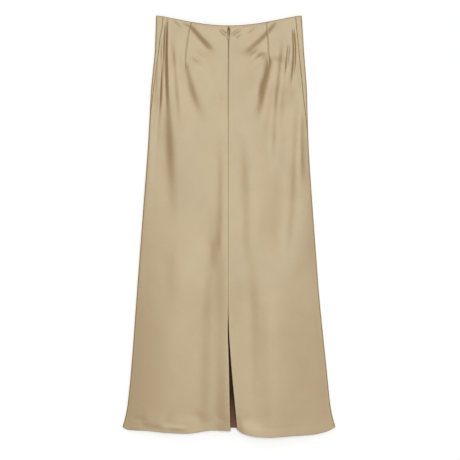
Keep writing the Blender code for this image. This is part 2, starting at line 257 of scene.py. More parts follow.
def curve_through(keys, values, at):
    """Smooth curve through the rows of a table, which never swings past their values."""
    keys = np.asarray(keys, float)
    values = np.asarray(values, float)
    secants = np.diff(values) / np.diff(keys)
    slopes = np.empty(len(keys))
    slopes[0] = secants[0]
    slopes[-1] = secants[-1]
    before = secants[:-1]
    after = secants[1:]
    same_way = before * after > 0.0
    total = np.where(same_way, before + after, 1.0)
    slopes[1:-1] = np.where(same_way, 2.0 * before * after / total, 0.0)
    at = np.clip(at, keys[0], keys[-1])
    i = np.clip(np.searchsorted(keys, at, side="right") - 1, 0, len(keys) - 2)
    span = keys[i + 1] - keys[i]
    t = (at - keys[i]) / span
    start = values[i] * (1 + 2 * t) * (1 - t) ** 2 + slopes[i] * span * t * (1 - t) ** 2
    end = values[i + 1] * t * t * (3 - 2 * t) - slopes[i + 1] * span * t * t * (1 - t)
    return start + end


def read_table(table, key, column, at):
    """A table's column at any place along its key."""
    keys = [getattr(row, key) for row in table]
    return curve_through(keys, [getattr(row, column) for row in table], at)


def half_width(side, drop):
    return read_table(SIDES, "drop", "left" if side < 0 else "right", drop)


def waist_drop(x):
    across = np.minimum(np.abs(x) / SIDES[0].left, 1.0)
    return WAIST_DIP * (1.0 - across * across) ** WAIST_CURVE


def front_hem_drop(x):
    across = np.minimum(np.abs(x) / SIDES[-1].left, 1.0)
    return SIDE_DROP + FRONT_HEM_FALL * (1.0 - across * across)


def spaced(anchors, counts):
    """Places between anchors, each stretch in so many equal steps. Anchors may be arrays."""
    places = []
    for start, end, count in zip(anchors, anchors[1:], counts):
        places += [start + (end - start) * k / count for k in range(count)]
    return places + [anchors[-1]]


def turned_edge(depth, flat_steps, round_steps=6):
    """Stations of a turned edge, from its raw end round to the outer layer.

    Each says how far it is past the end of the outer layer, and how far to the inside."""
    flat = [(depth * (k / flat_steps - 1.0), 2.0 * TURN) for k in range(flat_steps)]
    angles = [math.pi * (1.0 - k / round_steps) for k in range(round_steps)]
    return flat + [(TURN * math.sin(a), TURN * (1.0 - math.cos(a))) for a in angles]


EDGE_CELL = 0.2  # the last cell beside a turned edge
# Rows of cells down the side: close from the waist to the darts' points, and at the hem
ROW_PLACES = [0.0, EDGE_CELL, 6.0, 120.0, 300.0, 940.0, SIDE_DROP - EDGE_CELL, SIDE_DROP]
ROW_COUNTS = [1, 5, 84, 60, 116, 12, 1]
Rows = namedtuple("Rows", "share shift tuck side_drop")


def cloth_rows(hem_turn):
    """Rows from the raw end inside the waist, over its fold, down to the hem and up inside.

    share runs from waist to hem, shift is how far a turned row lies past that, and tuck
    is how far inside. side_drop is where each row meets the side's outline."""
    waist = turned_edge(WAIST_TURN, 4)
    hem = turned_edge(hem_turn, 6)[::-1]
    main = np.array(spaced(ROW_PLACES, ROW_COUNTS))
    share = np.concatenate([np.zeros(len(waist)), main / SIDE_DROP, np.ones(len(hem))])
    shift = np.concatenate([[-p for p, t in waist], 0.0 * main, [p for p, t in hem]])
    tuck = np.concatenate([[t for p, t in waist], 0.0 * main, [t for p, t in hem]])
    side_drop = np.clip(share * SIDE_DROP + shift, 0.0, SIDE_DROP)
    return Rows(share[:, None], shift[:, None], tuck[:, None], side_drop)


# at a side seam the edge is only rounded down, through a quarter turn
seam_angles = (math.pi / 2, math.pi / 3, math.pi / 6)
seam_edge = [(TURN * math.sin(a), TURN * (1.0 - math.cos(a))) for a in seam_angles]


def cloth_piece(name, points, wall, outer, inner):
    """A sheet through a grid of points in millimetres, with a wall and two sides."""
    rows, columns = points.shape[:2]
    index = np.arange(rows * columns).reshape(rows, columns)
    quads = np.stack([index[:-1, :-1], index[:-1, 1:], index[1:, 1:], index[1:, :-1]], axis=-1)
    mesh = bpy.data.meshes.new(name)
    mesh.from_pydata((points.reshape(-1, 3) * MM).tolist(), [], quads.reshape(-1, 4).tolist())
    mesh.materials.append(outer)
    mesh.materials.append(inner)
    mesh.shade_smooth()
    piece = bpy.data.objects.new(name, mesh)
    scene.collection.objects.link(piece)
    solid = piece.modifiers.new("Cloth wall", "SOLIDIFY")
    solid.thickness = wall * MM
    solid.offset = 0.0
    solid.use_even_offset = False
    solid.material_offset = 1
    solid.material_offset_rim = 0
    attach(piece, "skirt")
    return piece


# The front's edges lie over the backs, so the form of the backs is given from here on.
CENTRE_DROP = 975.5  # the hem at the middle
Hem = namedtuple("Hem", "x drop")
HEM = [
    Hem(-250, 967),
    Hem(-244, 970.5),
    Hem(-235, 973.5),
    Hem(-190, 975.5),
    Hem(-150, 979.5),
    Hem(-98, 981.8),
    Hem(-76, 979.5),
    Hem(-57, 976),
    Hem(-38, 974),
    Hem(0, CENTRE_DROP),
    Hem(19, 972),
    Hem(27, 978),
    Hem(41, 983.5),
    Hem(69, 989.2),
    Hem(98, 990.4),
    Hem(150, 987),
    Hem(197, 984.3),
    Hem(224, 979),
    Hem(241, 972.5),
    Hem(250, 967),
]

CentreBack = namedtuple("CentreBack", "drop middle gap groove fold")
# fold is how full the turned edges are, and groove how deep the seam sinks
CENTRE_BACK = [
    CentreBack(23, -1.0, 0.2, 0.1, 0.6),
    CentreBack(26.5, -1.0, 0.4, 0.2, 0.7),
    CentreBack(31, -0.9, 3.2, 0.5, 1.0),
    CentreBack(47, -0.9, 3.6, 0.5, 1.0),
    CentreBack(60, -1.2, 0.3, 0.3, 0.6),
    CentreBack(215, -1.6, 0.04, 0.2, 0.35),
    CentreBack(300, -1.7, 0.04, 0.05, 0.2),
    CentreBack(560, -1.7, 0.04, 0.0, 0.1),
    CentreBack(680, -1.9, 0.04, 0.0, 0.4),
    CentreBack(739, -1.6, 2.2, 0.0, 1.0),
    CentreBack(786, 0.6, 3.7, 0.0, 1.0),
    CentreBack(845, 3.7, 6.5, 0.0, 1.0),
    CentreBack(904, 7.0, 10.9, 0.0, 1.0),
    CentreBack(976, 11.4, 15.4, 0.0, 1.0),
]
GROOVE_WIDTH = 1.8
GROOVE_SHOULDER = 0.3  # how far the cloth beside the seam's groove is lifted

Crease = namedtuple("Crease", "x0 drop0 x1 drop1 bow width0 width1 height fade0 fade1")
# From the first point to the second, bowed sideways at the middle. The half width goes
# from width0 to width1, and fade0 and fade1 are the shares over which it rises and dies.
CREASES = [
    # left hip
    Crease(-145.5, -10, -145, 250, -5, 3.0, 7, -2.4, 0.3, 0.6),
    Crease(-156, 90, -168, 270, 0, 2.6, 5, -0.9, 0.25, 0.5),
    Crease(-139, 7, -108, 36, 0, 4.0, 5.0, -0.55, 0.4, 0.5),
    Crease(-118, 14, -84, 36, 0, 4.0, 4.6, -0.5, 0.4, 0.5),
    Crease(-90, 66, -44, 104, 0, 5.0, 5.0, -0.5, 0.4, 0.5),
    Crease(-92, 90, -50, 124, 0, 5.0, 5.0, -0.5, 0.4, 0.5),
    # right hip
    Crease(149, 20, 144, 182, 7, 2.6, 4.8, -1.4, 0.2, 0.5),
    Crease(142.5, 50, 132.5, 156, 0, 2.8, 4.6, -0.9, 0.35, 0.45),
    Crease(65, 24, 39, 44, 0, 2.5, 2.5, -0.4, 0.3, 0.4),
    Crease(84, 68, 40, 106, 0, 4.2, 4.2, -0.36, 0.4, 0.5),
    Crease(85, 84, 46, 122, 0, 4.2, 4.2, -0.36, 0.4, 0.5),
    Crease(87, 102, 58, 134, 0, 4.2, 4.2, -0.3, 0.4, 0.5),
    # beside the zip
    Crease(-28, 27, -2, 50, 0, 3.4, 4.6, -0.9, 0.5, 0.25),
    Crease(32, 27, 2, 50, 0, 4.2, 4.4, -0.8, 0.5, 0.25),
    Crease(29, 41, 10, 56, 0, 3.2, 3.2, -0.6, 0.45, 0.5),
    Crease(-17, 180, -15, 210, 0, 4.0, 4.0, -0.5, 0.4, 0.4),
    # at the head of the slit
    Crease(-19, 495, -17, 566, 0, 9.0, 9.0, 0.3, 0.45, 0.45),
    Crease(-8.5, 556, -8.5, 566, 0, 1.8, 1.8, -0.45, 0.4, 0.4),
    Crease(4.5, 556, 4.5, 566, 0, 1.8, 1.8, -0.35, 0.4, 0.4),
    Crease(20, 640, 32, 1100, 0, 52, 60, 4.0, 1.0, 0.01),
    Crease(26, 880, 56, 1020, 0, 34, 40, 2.6, 1.0, 0.01),
    # above the hem
    Crease(-235, 947, -188, 951, 0, 4.5, 4.5, -0.15, 0.3, 0.4),
]
SHOULDER_SHARE = 0.45  # how far the cloth beside a crease is lifted

Fall = namedtuple("Fall", "x0 drop0 x1 drop1 bow width0 width1 steep fade0 fade1")
# Along each line the cloth goes up towards +X, or up the skirt where the line lies
# across it, as steep as this. It comes back slowly on both sides. Below nought it goes
# down. Widths and fades are as a crease's.
FALLS = [
    # left hip
    Fall(-149, 48, -124, 540, -3, 10, 14, 0.165, 0.2, 0.6),
    Fall(-158, 40, -162, 240, 0, 6, 7, 0.21, 0.3, 0.4),
    Fall(-166, 190, -166, 330, 0, 6, 7, 0.07, 0.4, 0.45),
    Fall(-134, 40, -112, 300, 0, 5, 8, 0.18, 0.25, 0.5),
    Fall(-116, 66, -108, 190, 0, 5, 6, 0.09, 0.35, 0.35),
    Fall(-104, 94, -46, 276, -8, 7.5, 16, 0.19, 0.15, 0.6),
    Fall(-102, 10, -26, 94, -2, 5.5, 10, 0.20, 0.3, 0.35),
    Fall(-130, 500, -136, 720, 0, 14, 18, 0.035, 0.4, 0.5),
    # left of the centre back
    Fall(-21, 250, -20, 560, 0, 9, 12, 0.12, 0.4, 0.35),
    Fall(-54, 560, -74, 1060, 0, 12, 16, 0.055, 0.3, 0.2),
    Fall(-40, 390, -56, 1060, 0, 13, 15, 0.085, 0.2, 0.2),
    Fall(-27, 420, -23, 1060, 0, 12, 14, 0.09, 0.2, 0.2),
    Fall(-13, 440, -9, 1060, 0, 10, 12, 0.08, 0.2, 0.3),
    Fall(-37, 510, -36, 610, 0, 8, 8, 0.04, 0.35, 0.4),
    # right of the centre back
    Fall(8, 280, 8, 740, 0, 9, 9, 0.02, 0.3, 0.15),
    Fall(14, 640, 31, 1060, 0, 14, 16, 0.075, 0.25, 0.05),
    Fall(31, 240, 42, 640, 3, 14, 16, 0.12, 0.3, 0.3),
    Fall(56, 500, 62, 1060, 0, 16, 20, 0.115, 0.35, 0.1),
    Fall(84, 600, 90, 1060, 0, 18, 22, 0.09, 0.35, 0.1),
    # right hip
    Fall(99, 84, 61, 290, -1, 11, 17, 0.31, 0.13, 0.5),
    Fall(122, 2, 22, 100, 5, 5.5, 10, -0.20, 0.25, 0.35),
    Fall(128, 30, 108, 285, -2, 6.5, 9, 0.22, 0.35, 0.45),
    Fall(76, 140, 70, 200, 0, 7, 7, 0.07, 0.4, 0.4),
    Fall(110, 245, 102, 375, 0, 8, 8, 0.05, 0.4, 0.4),
    Fall(109, 130, 101, 390, 1, 7, 11, 0.16, 0.30, 0.5),
    Fall(137, 140, 135, 290, 0, 9, 9, 0.10, 0.35, 0.4),
    Fall(165, 160, 129, 640, 5, 14, 16, 0.165, 0.15, 0.3),
    Fall(172, 180, 168, 440, 0, 9, 12, -0.15, 0.3, 0.4),
    # above the hem
    Fall(-146, 946, -54, 946, 0, 10, 10, -0.03, 0.45, 0.45),
    Fall(-160, 962, -92, 970, 0, 5, 5, -0.06, 0.3, 0.3),
    Fall(-92, 930, -50, 948, 2, 7, 7, 0.03, 0.4, 0.4),
    Fall(-150, 968, -90, 976, 0, 5, 5, 0.07, 0.3, 0.4),
    Fall(-212, 958, -146, 969, 0, 6, 6, 0.06, 0.3, 0.3),
    Fall(-40, 944, -7, 957, 0, 4, 4, -0.04, 0.35, 0.45),
    Fall(24, 950, 86, 978, 0, 8, 8, -0.09, 0.3, 0.4),
]
FALL_REACH = 4.2  # how many widths it takes to come back
KEPT_FROM = 90.0  # a line right of this keeps the level on its outer side,
KEPT_OVER = 60.0  # more and more over this width
FRONT_FOLDS = [
    Crease(-118, 60, -96, 420, 6, 16, 26, 1.1, 0.3, 0.5),
    Crease(98, 80, 122, 380, -5, 15, 24, 1.0, 0.3, 0.5),
    Crease(-76, 44, -30, 128, 0, 9, 13, 0.8, 0.3, 0.5),
    Crease(62, 40, 18, 116, 0, 9, 12, 0.7, 0.3, 0.5),
    Crease(-14, 280, 34, 640, 10, 20, 30, 0.9, 0.4, 0.4),
    Crease(-146, 540, -176, 920, 0, 22, 30, 1.2, 0.4, 0.3),
    Crease(148, 500, 172, 900, 4, 20, 32, 1.2, 0.4, 0.3),
    Crease(76, 640, 90, 930, 0, 18, 24, 0.9, 0.4, 0.3),
]
FRONT_FOLDS_IN = 30.0  # they come in over so much from the sides,
FRONT_FOLDS_DOWN = 40.0  # and so much from waist and hem

Seam = namedtuple("Seam", "x0 drop0 x1 drop1 bow width depth")
DARTS = {
    -1: Seam(-89.3, 12, -104.0, 130, -2.5, 1.4, 0.42),
    1: Seam(88.0, 12, 94.0, 130, 1.5, 1.4, 0.42),
}
CROWN_WIDTH = 110.0  # the cloth rises to the middle over this width
DART_FADE = 0.25  # a dart's groove dies over this share, at its point
LOWEST = 2.2  # the middle of the upper layer never comes lower than this
LANDING = 0.5  # how softly it comes down there
WAIST_ROLL = 2.6  # the waist's edge turns in over this width
WAIST_ROLL_DIP = 0.6
WAIST_STITCH_DROP = 3.4  # its turning is caught down along here
WAIST_STITCH_DIP = 0.3
WAIST_STITCH_WIDTH = 0.9
HEM_DIP = 0.08  # the cloth sinks where the hem's raw edge ends inside
HEM_DIP_WIDTH = 7.0
# These come in over so much from the edge of the roll
FOLDS_IN = 18.0
GROOVES_IN = 4.0
HEM_DIP_IN = 40.0


def off_line(line, x, drop):
    """Share of the way along a bowed line, and the distance to its right."""
    run_x = line.x1 - line.x0
    run_drop = line.drop1 - line.drop0
    length = math.hypot(run_x, run_drop)
    t = ((x - line.x0) * run_x + (drop - line.drop0) * run_drop) / length ** 2
    off = ((x - line.x0) * run_drop - (drop - line.drop0) * run_x) / length
    return t, off - line.bow * 4.0 * t * (1.0 - t)


def fold_height(lines, x, drop):
    """How much higher creases and falls make the cloth."""
    total = np.zeros_like(x)
    for line in lines:
        t, off = off_line(line, x, drop)
        inside = np.clip(t, 0.0, 1.0)
        width = line.width0 + (line.width1 - line.width0) * inside
        fade = ease(inside / line.fade0) * ease((1.0 - inside) / line.fade1)
        q = off / width
        if isinstance(line, Crease):
            total += line.height * fade * np.exp(-q * q) * (1.0 - SHOULDER_SHARE * q * q)
        else:
            kept = ease((line.x0 + (line.x1 - line.x0) * inside - KEPT_FROM) / KEPT_OVER)
            back = np.exp(-(q / FALL_REACH) ** 2)
            total += line.steep * width * fade * (np.tanh(q) - kept) * back
    return total


def groove_height(x, drop):
    """The sewn lines' fine grooves."""
    total = np.zeros_like(x)
    for dart in DARTS.values():
        t, off = off_line(dart, x, drop)
        fade = ease((1.0 - np.clip(t, 0.0, 1.0)) / DART_FADE) * (t < 1.0)
        total -= dart.depth * fade * np.exp(-(off / dart.width) ** 2)
    middle = read_table(CENTRE_BACK, "drop", "middle", drop)
    gap = read_table(CENTRE_BACK, "drop", "gap", drop)
    groove = read_table(CENTRE_BACK, "drop", "groove", drop)
    q = np.maximum(np.abs(x - middle) - gap / 2, 0.0) / GROOVE_WIDTH
    return total - groove * np.exp(-q * q) * (1.0 - GROOVE_SHOULDER * q * q)


def waist_dip(x, drop):
    """How far the cloth dips at the waist's turned edge."""
    below = drop - waist_drop(x)
    rolled = WAIST_ROLL_DIP * (1.0 - ease(below / WAIST_ROLL))
    from_stitch = (below - WAIST_STITCH_DROP) / WAIST_STITCH_WIDTH
    return rolled + WAIST_STITCH_DIP * np.exp(-from_stitch ** 2)


def hem_dip(x, drop):
    """The cloth sinks a little where the hem's raw edge ends inside."""
    above = read_table(HEM, "x", "drop", x) - drop
    return HEM_DIP * np.exp(-((above - HEM_TURN - HEM_DIP_WIDTH) / HEM_DIP_WIDTH) ** 2)


def back_height(x, drop, inward):
    """Height of the upper layer's middle, inward from the top of the side's roll."""
    left_rise = read_table(SIDES, "drop", "left_rise", drop)
    right_rise = read_table(SIDES, "drop", "right_rise", drop)
    rise = left_rise + (right_rise - left_rise) * ease(0.5 + x / CROWN_WIDTH / 2.0)
    shoulder = read_table(SIDES, "drop", "shoulder", drop)
    crown = read_table(SIDES, "drop", "crown", drop)
    level = ROLL_TOP + rise * (1.0 - np.exp(-inward / shoulder))
    level = level + crown * ease(inward / CROWN_WIDTH)
    level = level + fold_height(CREASES + FALLS, x, drop) * ease(inward / FOLDS_IN)
    level = level + groove_height(x, drop) * ease(inward / GROOVES_IN) - waist_dip(x, drop)
    level = level - hem_dip(x, drop) * ease(inward / HEM_DIP_IN)
    # the cloth comes down softly on the layer under it
    above = level - LOWEST
    landed = LANDING * np.log1p(np.exp(above / LANDING))
    return LOWEST + np.where(above > 3 * LANDING, above, landed)


def skirt_points(rows, side, places, tucks):
    """Points on the middle of the cloth, round one edge of the skirt, in millimetres.

    places are measured on the cloth: below nought it lies on the floor, then it goes
    round the roll, then over the back. tucks are how far to the inside each lies."""
    along = np.stack([np.broadcast_to(p, rows.side_drop.shape) for p in places], axis=1)
    tuck = rows.tuck + np.stack([np.broadcast_to(p, rows.side_drop.shape) for p in tucks], axis=1)
    centre = half_width(side, rows.side_drop)[:, None] - ROLL
    angle = np.clip(along / ROLL, 0.0, math.pi)
    inward = np.maximum(along - math.pi * ROLL, 0.0)
    reach = centre + np.minimum(along, 0.0) + ROLL * np.sin(angle) - inward
    x = side * (reach - tuck * np.sin(angle))
    on_back = angle / math.pi
    top = waist_drop(x) + FRONT_WAIST_STEP * (1.0 - on_back) + TURN
    hem = front_hem_drop(x)
    hem = hem + (read_table(HEM, "x", "drop", x) - hem) * on_back - TURN
    drop = top + (hem - top) * rows.share + rows.shift
    z_round = FLOOR_LEVEL + ROLL * (1.0 - np.cos(angle))
    z = np.where(inward > 0.0, back_height(x, drop, inward), z_round) + tuck * np.cos(angle)
    return np.stack([x, TOP_Y - drop, z], axis=-1)


quarter = math.pi * ROLL / 2


def seam_line(rows, side):
    """How far round the edge the side seam runs, in each row."""
    wrap = read_table(SIDES, "drop", "left_wrap" if side < 0 else "right_wrap", rows.side_drop)
    return quarter + wrap


front_rows = cloth_rows(FRONT_HEM_TURN)
front_parts = {}
for side in (-1, 1):
    end = seam_line(front_rows, side) - SEAM_GAP - TURN
    places = spaced([0.0, quarter, end], [6, 16]) + [end + past for past, tucked in seam_edge[::-1]]
    tucks = [0.0] * (len(places) - len(seam_edge)) + [tucked for past, tucked in seam_edge[::-1]]
    front_parts[side] = skirt_points(front_rows, side, places, tucks)
reach_left = half_width(-1, front_rows.side_drop)[:, None] - ROLL
reach_right = half_width(1, front_rows.side_drop)[:, None] - ROLL
x = -reach_left + (reach_left + reach_right) * np.arange(1, FRONT_CELLS) / FRONT_CELLS
top = waist_drop(x) + FRONT_WAIST_STEP + TURN
drop = top + (front_hem_drop(x) - TURN - top) * front_rows.share + front_rows.shift
near_edge = np.minimum(reach_right - x, reach_left + x)
near_end = np.minimum(drop - WAIST_DIP, SIDE_DROP - drop)
lift = np.maximum(fold_height(FRONT_FOLDS, x, drop), 0.0)
lift = lift * ease(near_edge / FRONT_FOLDS_IN) * ease(near_end / FRONT_FOLDS_DOWN)
floor_points = np.stack([x, TOP_Y - drop, FLOOR_LEVEL + front_rows.tuck + lift], axis=-1)
front_points = np.concatenate([front_parts[-1][:, ::-1], floor_points, front_parts[1]], axis=1)
front = cloth_piece("front", front_points, CLOTH, satin_face, satin_reverse)
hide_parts("front_panel")


# --- Backs ----------------------------------------------------------------------------
# Two pieces of the same satin, each with one waist dart. They are joined down the centre
# back as far as the slit, and their edges are turned back and pressed along its length.

SEAM_TURN = 13.0  # the centre back's seam allowance and the slit's turning
DART_SPREAD = 0.25  # below a dart its line of cells runs on, so much further out
DART_SPREAD_OVER = 800.0
NEAR_SEAM = 3.0  # widths of the strips of closer cells
NEAR_DART = 4.0
NEAR_CENTRE = 5.0
BACK_COUNTS = [5, 44, 6, 6, 62, 5, 1]

back_rows = cloth_rows(HEM_TURN)
side_drops = back_rows.side_drop
centre_fold = turned_edge(SEAM_TURN, 5)[::-1]
for side, label in ((-1, "left"), (1, "right")):
    middle_drop = WAIST_DIP + (CENTRE_DROP - WAIST_DIP) * side_drops / SIDE_DROP
    gap = read_table(CENTRE_BACK, "drop", "gap", middle_drop)
    tight = read_table(CENTRE_BACK, "drop", "fold", middle_drop)
    edge_x = read_table(CENTRE_BACK, "drop", "middle", middle_drop)
    edge_x = edge_x + side * (gap / 2 + CLOTH / 2 + TURN * tight)
    dart = DARTS[side]
    t = np.clip((side_drops - dart.drop0) / (dart.drop1 - dart.drop0), 0.0, 1.0)
    dart_x = dart.x0 + (dart.x1 - dart.x0) * t + dart.bow * 4.0 * t * (1.0 - t)
    dart_x = dart_x * (1.0 + DART_SPREAD * ease((side_drops - dart.drop1) / DART_SPREAD_OVER))
    start = seam_line(back_rows, side) + SEAM_GAP + TURN
    over = 2.0 * quarter + half_width(side, side_drops) - ROLL
    at_dart = over - side * dart_x
    end = over - side * edge_x
    first = np.maximum(start + NEAR_SEAM, 2.0 * quarter + 1.0)
    anchors = [start, first, at_dart - NEAR_DART, at_dart, at_dart + NEAR_DART]
    anchors += [end - NEAR_CENTRE, end - EDGE_CELL, end]
    places = [start - past for past, tucked in seam_edge]
    places += spaced(anchors, BACK_COUNTS)
    tucks = [tucked for past, tucked in seam_edge] + [0.0] * (len(places) - len(seam_edge))
    places += [end + (past * tight if past > 0.0 else past) for past, tucked in centre_fold]
    tucks += [tucked for past, tucked in centre_fold]
    points = skirt_points(back_rows, side, places, tucks)
    if side < 0:
        points = points[:, ::-1]
    back = cloth_piece("back_" + label, points, CLOTH, satin_face, satin_reverse)
    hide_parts("back_" + label + "_panel")
    flat = (0.270, 0.999) if side < 0 else (0.255, 1.004)


# --- Zip tapes ------------------------------------------------------------------------
# Two woven polyester tapes of an invisible zip, sewn to the allowances of the centre back
# seam. Each turns in at the middle, with its nylon coil under the turned edge. The zip is
# closed, so the two coils mesh.

TAPE_TONE = (0.235, 0.160, 0.085, 1.0)
TAPE_SHADE = (0.185, 0.122, 0.064, 1.0)
ENAMEL_TONE = (0.165, 0.116, 0.062, 1.0)
ENAMEL_WORN = (0.40, 0.35, 0.27, 1.0)
TAPE_WALL = 0.5
TAPE_EDGE = 0.35  # from the middle of the zip to a tape's turned edge
TAPE_FOLD = 0.35  # radius of that edge
TAPE_ABOVE = 3.5  # the tapes run on so far up under the waist's turning
TAPE_ROWS = 120
TAPE_COLUMNS = 9  # across its flat part
COIL_PITCH = 1.1
COIL_WIRE = 0.2
COIL_STEPS = 8  # points in each turn of the coil
COIL_TOP = 5.0  # the coil begins so far below the top of the zip,
COIL_FOOT = 2.0  # and ends so far above its foot
COIL_MIDDLE = 0.75  # from the middle of the zip to the middle of a coil
COIL_HALF_WIDTH = 0.85
COIL_HALF_HEIGHT = 0.28
COIL_BELOW = 1.48  # from the tape down to the coil's middle


def make_rib_group():
    """Warp ribs of a narrow woven tape, with the weft's fine ticks across them."""
    group, entry, leave = new_group(
        "tape_ribs",
        [("Tone", "NodeSocketColor", TAPE_TONE), ("Shade", "NodeSocketColor", TAPE_SHADE)],
        [("Color", "NodeSocketColor"), ("Height", "NodeSocketFloat")],
    )
    place = group.nodes.new("ShaderNodeTexCoord")
    heights = []
    for axis, scale in (("X", 450.0), ("Y", 900.0)):
        wave = group.nodes.new("ShaderNodeTexWave")
        wave.bands_direction = axis
        wave.inputs["Scale"].default_value = scale
        wave.inputs["Distortion"].default_value = 0.4
        group.links.new(place.outputs["Object"], wave.inputs["Vector"])
        heights.append(wave.outputs["Fac"])
    weave = group.nodes.new("ShaderNodeMath")
    weave.operation = "MULTIPLY"
    group.links.new(heights[0], weave.inputs[0])
    group.links.new(heights[1], weave.inputs[1])
    tone = add_mix(group, weave.outputs["Value"], entry.outputs["Shade"], entry.outputs["Tone"])
    group.links.new(tone, leave.inputs["Color"])
    group.links.new(weave.outputs["Value"], leave.inputs["Height"])
    return group


tape_weave = bpy.data.materials.new("zip_tape_weave")
tape_weave.use_nodes = True
tape_tree = tape_weave.node_tree
tape_shader = tape_tree.nodes["Principled BSDF"]
tape_shader.inputs["Roughness"].default_value = 0.75
tape_ribs = tape_tree.nodes.new("ShaderNodeGroup")
tape_ribs.node_tree = make_rib_group()
tape_ribs.inputs["Tone"].default_value = TAPE_TONE
tape_ribs.inputs["Shade"].default_value = TAPE_SHADE
tape_bump = tape_tree.nodes.new("ShaderNodeBump")
tape_bump.inputs["Distance"].default_value = 0.05 * MM
tape_tree.links.new(tape_ribs.outputs["Height"], tape_bump.inputs["Height"])
tape_tree.links.new(tape_ribs.outputs["Color"], tape_shader.inputs["Base Color"])
tape_tree.links.new(tape_bump.outputs["Normal"], tape_shader.inputs["Normal"])


def make_wear_group():
    """A worn coat: scuffs where handling rubs it, and a slightly uneven gloss."""
    group, entry, leave = new_group(
        "enamel_wear",
        [("Coat", "NodeSocketColor", ENAMEL_TONE), ("Under", "NodeSocketColor", ENAMEL_WORN)],
        [("Color", "NodeSocketColor"), ("Roughness", "NodeSocketFloat")],
    )
    place = group.nodes.new("ShaderNodeTexCoord")
    scuffs = add_noise(group, place, 900.0, 4.0, (1.0, 0.3, 1.0))
    clouds = add_noise(group, place, 260.0, 2.0, (1.0, 1.0, 1.0))
    geometry = group.nodes.new("ShaderNodeNewGeometry")
    edges = add_range(group, geometry.outputs["Pointiness"], 0.52, 0.60)
    rubbed = group.nodes.new("ShaderNodeMath")
    rubbed.operation = "MULTIPLY"
    group.links.new(edges, rubbed.inputs[0])
    group.links.new(add_range(group, scuffs, 0.35, 0.65, 0.1, 0.7), rubbed.inputs[1])
    tone = add_mix(group, rubbed.outputs["Value"], entry.outputs["Coat"], entry.outputs["Under"])
    group.links.new(tone, leave.inputs["Color"])
    group.links.new(add_range(group, clouds, 0.3, 0.7, 0.30, 0.42), leave.inputs["Roughness"])
    return group


def coated_material(name, coat, metallic, wear):
    """Enamel or nylon with the wear group's scuffs."""
    material = bpy.data.materials.new(name)
    material.use_nodes = True
    tree = material.node_tree
    shader = tree.nodes["Principled BSDF"]
    shader.inputs["Metallic"].default_value = metallic
    worn = tree.nodes.new("ShaderNodeGroup")
    worn.node_tree = wear
    worn.inputs["Coat"].default_value = coat
    worn.inputs["Under"].default_value = ENAMEL_WORN
    tree.links.new(worn.outputs["Color"], shader.inputs["Base Color"])
    tree.links.new(worn.outputs["Roughness"], shader.inputs["Roughness"])
    return material


enamel_wear = make_wear_group()
coil_nylon = coated_material("coil_nylon", TAPE_TONE, 0.0, enamel_wear)


def wire(name, points, radius, material):
    """A round wire along points in millimetres."""
    curve = bpy.data.curves.new(name, "CURVE")
    curve.dimensions = "3D"
    curve.bevel_depth = radius * MM
    curve.bevel_resolution = 1
    curve.use_fill_caps = True
    curve.materials.append(material)
    spline = curve.splines.new("POLY")
    spline.points.add(len(points) - 1)
    for point, (x, y, z) in zip(spline.points, points):
        point.co = (x * MM, y * MM, z * MM, 1.0)
    spline.use_smooth = True
    piece = bpy.data.objects.new(name, curve)
    scene.collection.objects.link(piece)
    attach(piece, "skirt")
    return piece


tape_low, tape_high = (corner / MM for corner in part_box("zip_tape"))
tape_y = np.linspace(tape_high.y + TAPE_ABOVE, tape_low.y, TAPE_ROWS)[:, None]
tape_level = (tape_low.z + tape_high.z) / 2
zip_middle = read_table(CENTRE_BACK, "drop", "middle", TOP_Y - tape_y)
for side, outer_edge in ((-1, tape_low.x), (1, tape_high.x)):
    # flat from the outer edge, round the turned edge, and a little way back under
    half = abs(outer_edge - zip_middle)
    flat = half + (TAPE_EDGE + TAPE_FOLD - half) * np.linspace(0.0, 1.0, TAPE_COLUMNS)
    bend = np.linspace(0.0, math.pi, 7)[1:]
    turned = TAPE_EDGE + TAPE_FOLD * (1.0 - np.sin(bend))
    turned = np.concatenate([turned, TAPE_EDGE + TAPE_FOLD + np.array([0.5, 1.0])])
    across = np.concatenate([flat, np.broadcast_to(turned, (TAPE_ROWS, len(turned)))], axis=1)
    turned_in = TAPE_FOLD * (1.0 - np.cos(bend))
    turned_in = np.concatenate([np.zeros(TAPE_COLUMNS), turned_in, np.full(2, 2.0 * TAPE_FOLD)])
    grid = np.broadcast_arrays(zip_middle + side * across, tape_y, tape_level - turned_in)
    grid = np.stack(grid, axis=-1)
    if side > 0:
        grid = grid[:, ::-1]
    label = "left" if side < 0 else "right"
    tape = cloth_piece("zip_tape_" + label, grid, TAPE_WALL, tape_weave, tape_weave)
    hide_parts("zip_tape")
    # one coil is half a turn behind the other
    turns = (tape_high.y - tape_low.y - COIL_TOP - COIL_FOOT) / COIL_PITCH
    turn = np.arange(int(turns * COIL_STEPS)) / COIL_STEPS
    coil_y = tape_high.y - COIL_TOP - COIL_PITCH * (turn + (0.5 if side > 0 else 0.0))
    coil_x = read_table(CENTRE_BACK, "drop", "middle", TOP_Y - coil_y)
    coil_x = coil_x + side * (COIL_MIDDLE - COIL_HALF_WIDTH * np.cos(2 * math.pi * turn))
    coil_z = tape_level - COIL_BELOW + COIL_HALF_HEIGHT * np.sin(2 * math.pi * turn)
    coil_points = np.stack([coil_x, coil_y, coil_z], axis=-1)
    wire("zip_coil_" + label, coil_points, COIL_WIRE, coil_nylon)


# --- Slider ---------------------------------------------------------------------------
# A small cast slider, enamelled to match the cloth, at the top of the closed coils. Its
# plate shows in the seam, and a ring bent over the plate holds the pull.

